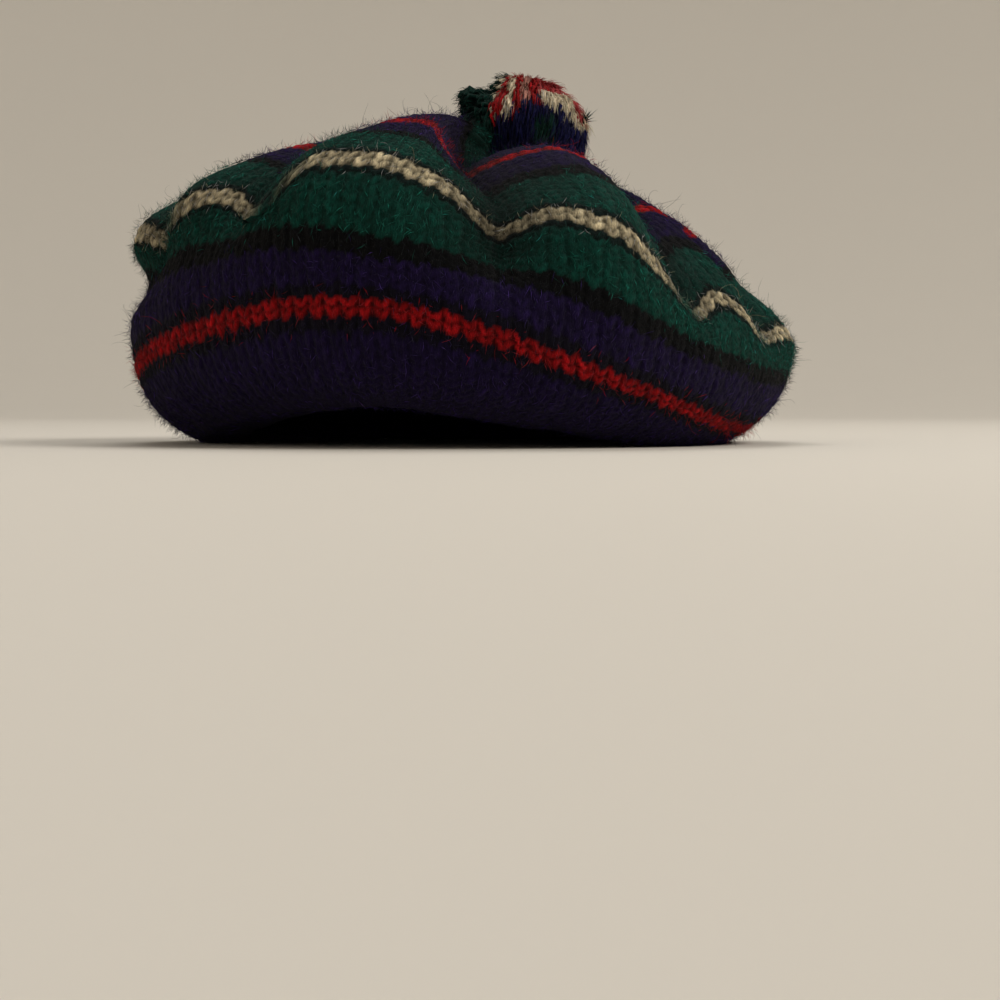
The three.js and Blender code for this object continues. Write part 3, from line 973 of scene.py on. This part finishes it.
def pompom_pieces():
    """The pompom's yarn, and the fluff that lies along it."""
    middle, half, up = pompom_frame()
    own = np.random.default_rng(31)
    direction = sphere_directions(POMPOM_STRANDS, own)
    direction = direction[direction @ up > LOWEST_STRAND]
    count = len(direction)
    tuft = smooth(-direction[:, 0], *TUFT_RANGE)
    from_top = np.arccos(np.clip(direction @ unit(POMPOM_TOP), -1, 1))
    comb = np.minimum(COMB_LIMIT, COMB_SHARE * from_top) * (1 - (1 - TUFT_COMB) * tuft)
    locks = unit(np.random.default_rng(5).normal(size=(POMPOM_LOCKS, 3)))
    nearest = np.argmax(direction @ locks.T, axis=1)
    lock_length = np.random.default_rng(6).normal(1.0, LOCK_SPREAD, POMPOM_LOCKS)[nearest]
    gathered = unit(direction + (LOCK_PULL + TUFT_PULL * tuft)[:, None] * locks[nearest])
    colour = pompom_colour(combed(direction, COLOUR_COMB * comb), own)
    length = lock_length * own.normal(1.0, LENGTH_SPREAD, count) * outline_swell(direction)
    path = strand_path(gathered, length, STRAND_STEPS, comb) * half + middle
    path = path + own.normal(0, STRAND_WANDER, path.shape)
    radii = np.linspace(STRAND_ROOT, STRAND_TIP, STRAND_STEPS)[None, :]
    radii = radii * own.uniform(*STRAND_WIDTHS, count)[:, None]
    radii[:, -1] = STRAND_POINT
    bright = own.lognormal(0, STRAND_CONTRAST, count)[:, None, None]
    # Painted shade: each strand is darker at its root, deep inside the pompom, and lighter at its end
    fade = np.linspace(*STRAND_ROOT_SHADE, STRAND_STEPS)[None, :, None]
    shade = np.clip(colour[:, None] * bright * fade, 0, STRAND_BRIGHTEST)
    yarn = yarn_tubes("pompom_yarn", path, radii, STRAND_SIDES, shade)

    pick = own.integers(0, count, POMPOM_FLUFF)
    around = unit(gathered[pick] + own.normal(0, DIRECTION_JITTER, (POMPOM_FLUFF, 3)))
    stand = own.uniform(0, 1, POMPOM_FLUFF) ** 2
    lift = (FLUFF_LOW + FLUFF_GAIN * stand)[:, None] * FLUFF_LIFTS[None, :]
    path = np.zeros((POMPOM_FLUFF, FLUFF_STEPS, 3))
    progress = np.linspace(0, 1, FLUFF_STEPS)
    for i, t in enumerate(progress):
        ahead = combed(around, FLUFF_COMB * comb[pick] * (1 - t) - FLUFF_RAISE * t)
        path[:, i] = ahead * (length[pick] + lift[:, i])[:, None] * half + middle
    path = path + own.normal(0, FLUFF_WANDER, path.shape) * progress[None, :, None]
    # Painted sheen: the fluff is lighter than the strands that it lies along
    bright = own.lognormal(FLUFF_LIGHT, FLUFF_CONTRAST, POMPOM_FLUFF)[:, None]
    tint = np.clip(colour[pick] * bright + FLUFF_GLEAM, 0, FLUFF_BRIGHTEST)
    path[:STRAY_ENDS] = stray_tuft(own) * half + middle
    tint[:STRAY_ENDS] = STRAND_COLOURS["green"]
    thickness = own.uniform(*FLUFF_WIDTHS, POMPOM_FLUFF)
    thickness[:STRAY_ENDS] = STRAY_WIDTH
    return yarn, hairs("pompom_fluff", path, thickness, tint)


def stray_tuft(own):
    """A small tuft that stands off the pompom's right side and opens at its end."""
    root = np.array([0.9, -0.2, 0.12])
    tip = np.array([1.1, -0.25, 0.36])
    spread = own.normal(0, 1, (STRAY_ENDS, 3)) * np.array([0.045, 0.04, 0.06])
    ease = np.linspace(0, 1, FLUFF_STEPS)[None, :, None]
    return root + (tip - root) * ease + spread[:, None] * ease ** 2


def node_material(name):
    material = bpy.data.materials.new(name)
    material.use_nodes = True
    tree = material.node_tree
    return material, tree, tree.nodes["Principled BSDF"]


def wool_material(name, sheen, streaks, relief, knit_map):
    """Brushed wool: the yarn's colour with fibre streaks, soft sheen and fine bumps."""
    material, tree, shader = node_material(name)
    new, link = tree.nodes.new, tree.links.new
    colour = new("ShaderNodeAttribute")
    colour.attribute_name = "wool"
    colour.attribute_type = "GEOMETRY"
    if knit_map:
        place = new("ShaderNodeUVMap")
        place.uv_map = "knit"
        source = place.outputs["UV"]
        stretch = (13.0, 2.0, 1.0)
    else:
        place = new("ShaderNodeTexCoord")
        source = place.outputs["Object"]
        stretch = (900.0, 900.0, 300.0)
    mapping = new("ShaderNodeMapping")
    mapping.inputs["Scale"].default_value = stretch
    link(source, mapping.inputs["Vector"])
    streak = new("ShaderNodeTexNoise")
    streak.inputs["Scale"].default_value = 1.0
    streak.inputs["Detail"].default_value = 5.0
    streak.inputs["Roughness"].default_value = 0.7
    streak.inputs["Distortion"].default_value = 0.6
    link(mapping.outputs["Vector"], streak.inputs["Vector"])
    ramp = new("ShaderNodeMapRange")
    ramp.inputs["From Min"].default_value = 0.3
    ramp.inputs["From Max"].default_value = 0.72
    ramp.inputs["To Min"].default_value = 1.0 - streaks
    ramp.inputs["To Max"].default_value = 1.0 + 1.6 * streaks
    link(streak.outputs["Fac"], ramp.inputs["Value"])
    mix = new("ShaderNodeVectorMath")
    mix.operation = "SCALE"
    link(colour.outputs["Color"], mix.inputs[0])
    link(ramp.outputs["Result"], mix.inputs["Scale"])
    link(mix.outputs["Vector"], shader.inputs["Base Color"])
    grain = new("ShaderNodeTexNoise")
    grain.inputs["Scale"].default_value = 1400.0
    grain.inputs["Detail"].default_value = 3.0
    grain_place = new("ShaderNodeTexCoord")
    link(grain_place.outputs["Object"], grain.inputs["Vector"])
    add = new("ShaderNodeMath")
    add.operation = "MULTIPLY_ADD"
    add.inputs[1].default_value = 0.5
    link(grain.outputs["Fac"], add.inputs[0])
    link(streak.outputs["Fac"], add.inputs[2])
    bump = new("ShaderNodeBump")
    bump.inputs["Strength"].default_value = relief
    bump.inputs["Distance"].default_value = 0.0008
    link(add.outputs["Value"], bump.inputs["Height"])
    link(bump.outputs["Normal"], shader.inputs["Normal"])
    shader.inputs["Roughness"].default_value = 0.92
    shader.inputs["Specular IOR Level"].default_value = 0.1
    shader.inputs["Sheen Weight"].default_value = sheen
    shader.inputs["Sheen Roughness"].default_value = 0.45
    return material


def dress(obj, material, slot, *nodes):
    """Give a piece its material, and let it ride the body and replace its nodes; the slot is not used."""
    obj.data.materials.clear()
    obj.data.materials.append(material)
    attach(obj, "root")
    if nodes:
        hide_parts(*nodes)


# The crown, in five closed rings of knit
crown_wool = wool_material("crown_wool", sheen=0.03, streaks=0.6, relief=0.9, knit_map=True)
BANDS = [
    # name, first and last course, stitches round, points to a stitch across and along,
    # points to a stitch on the inside
    ("crown_underside", 0, 10, 132, 4, 3, 2),
    ("crown_brim", 10, 28, 132, 8, 4, 2),
    ("crown_side", 28, 45, 132, 8, 4, 2),
    ("crown_top", 45, 58, 88, 8, 4, 2),
    ("crown_gather", 58, 72, 44, 8, 4, 2),
]
for band in BANDS:
    dress(knit_band(*band), crown_wool, "crown_wool", "crown")

# Its brushed fibres: flat on the knit, standing off it, and a few long ones
fibre_wool = wool_material("fibre_wool", sheen=0.03, streaks=0.2, relief=0.2, knit_map=False)
FIBRES = [
    # name, count, seed, length, stand, curl, steps, radius, glint, first course, last course
    ("crown_nap", 24000, 41, (1.8, 4.8), (0.05, 0.3), (-0.4, 0.4), 3, (0.055, 0.1), 2.8, 4, 68),
    ("crown_fuzz", 18000, 42, (1.5, 4.5), (0.35, 0.95), (-0.7, 0.7), 3, (0.05, 0.08), 1.2, 9, 68),
    ("crown_halo", 800, 43, (5.0, 12.0), (0.15, 0.7), (0.1, 0.8), 6, (0.045, 0.065), 1.0, 9, 68),
]
for fibres in FIBRES:
    dress(crown_fibres(*fibres), fibre_wool, "crown_wool")

# The pompom
pompom_wool = wool_material("pompom_wool", sheen=0.04, streaks=0.35, relief=0.5, knit_map=False)
yarn, fluff = pompom_pieces()
dress(yarn, pompom_wool, "pompom_wool", "pompom")
dress(fluff, pompom_wool, "pompom_wool")


def tie_material():
    """Dark twisted yarn, for the tie that keeps its solid's shape."""
    material, tree, shader = node_material("tie_yarn")
    new, link = tree.nodes.new, tree.links.new
    place = new("ShaderNodeTexCoord")
    wave = new("ShaderNodeTexWave")
    wave.bands_direction = "DIAGONAL"
    wave.inputs["Scale"].default_value = 260.0
    wave.inputs["Distortion"].default_value = 2.0
    link(place.outputs["Object"], wave.inputs["Vector"])
    ramp = new("ShaderNodeValToRGB")
    ramp.color_ramp.elements[0].color = (0.004, 0.004, 0.006, 1)
    ramp.color_ramp.elements[1].color = (0.03, 0.03, 0.04, 1)
    link(wave.outputs["Fac"], ramp.inputs["Fac"])
    link(ramp.outputs["Color"], shader.inputs["Base Color"])
    bump = new("ShaderNodeBump")
    bump.inputs["Distance"].default_value = 0.0006
    link(wave.outputs["Fac"], bump.inputs["Height"])
    link(bump.outputs["Normal"], shader.inputs["Normal"])
    shader.inputs["Roughness"].default_value = 0.9
    shader.inputs["Sheen Weight"].default_value = 0.3
    return material


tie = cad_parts["pompom_tie"]
tie.data.materials.clear()
tie.data.materials.append(tie_material())

# The floor, which curves up all round into a pale backdrop
FLOOR_RADIUS = 1.1
FLOOR_BEND = 1.0
BACKDROP_HEIGHT = 3.0
BACKDROP_SIDES = 96
FLOOR_RINGS = 4
BEND_RINGS = 12


def backdrop():
    profile = [(FLOOR_RADIUS * k / FLOOR_RINGS, 0.0) for k in range(1, FLOOR_RINGS + 1)]
    for k in range(1, BEND_RINGS + 1):
        turn = math.radians(90 * k / BEND_RINGS)
        rise = FLOOR_BEND * (1 - math.cos(turn))
        profile.append((FLOOR_RADIUS + FLOOR_BEND * math.sin(turn), rise))
    profile.append((FLOOR_RADIUS + FLOOR_BEND, BACKDROP_HEIGHT))
    points = [(0.0, 0.0, 0.0)]
    for radius, height in profile:
        for k in range(BACKDROP_SIDES):
            turn = 2 * math.pi * k / BACKDROP_SIDES
            points.append((radius * math.cos(turn), radius * math.sin(turn), height))
    middle, bends = [], []
    for k in range(BACKDROP_SIDES):
        after = (k + 1) % BACKDROP_SIDES
        middle.append((0, 1 + k, 1 + after))
        for ring in range(len(profile) - 1):
            low = 1 + ring * BACKDROP_SIDES
            high = low + BACKDROP_SIDES
            bends.append((low + k, high + k, high + after, low + after))
    floor = mesh_object("floor", np.array(points) / MM, [np.array(middle), np.array(bends)])
    material, _, shader = node_material("plain_floor")
    shader.inputs["Base Color"].default_value = (0.69, 0.65, 0.585, 1)
    shader.inputs["Roughness"].default_value = 0.8
    floor.data.materials.append(material)


backdrop()


# Round lamps that face the hat: name, place, width, power, colour
LAMP_AIM = (0, 0, 0.06)
LAMPS = [
    ("key", (1.2, -0.7, 1.4), 1.0, 21, (1.0, 0.97, 0.92)),
    ("fill", (-1.1, -1.1, 0.8), 1.0, 1.0, (0.95, 0.97, 1.0)),
    ("top", (0.0, 0.5, 1.6), 1.2, 10, (1.0, 0.98, 0.95)),
]


def lamp(name, place, size, power, colour):
    data = bpy.data.lights.new(name, "AREA")
    data.shape = "DISK"
    data.size = size
    data.energy = power
    data.color = colour
    obj = bpy.data.objects.new(name, data)
    bpy.context.scene.collection.objects.link(obj)
    obj.location = place
    away = np.array(LAMP_AIM) - np.array(place)
    yaw = math.atan2(-away[0], away[1])
    pitch = math.atan2(away[2], math.hypot(away[0], away[1]))
    obj.rotation_euler = (math.pi / 2 + pitch, 0, yaw)


for values in LAMPS:
    lamp(*values)
world = bpy.data.worlds.new("studio")
world.use_nodes = True
world.node_tree.nodes["Background"].inputs["Color"].default_value = (0.9, 0.88, 0.85, 1)
world.node_tree.nodes["Background"].inputs["Strength"].default_value = 0.25
bpy.context.scene.world = world
bpy.context.scene.view_settings.view_transform = "Standard"

# The camera stands in front, just above the floor, and looks down by a few degrees
CAMERA_PLACE = (0, -0.9, 0.018)
CAMERA_LENS = 84.4
CAMERA_DIP = 2.54
CAMERA_YAW = -0.93
camera = bpy.data.objects.new("camera", bpy.data.cameras.new("camera"))
camera.data.sensor_width = 36
camera.data.lens = CAMERA_LENS
camera.data.clip_start = 0.01
camera.location = CAMERA_PLACE
camera.rotation_euler = (math.radians(90 - CAMERA_DIP), 0, math.radians(CAMERA_YAW))
bpy.context.scene.collection.objects.link(camera)
bpy.context.scene.camera = camera
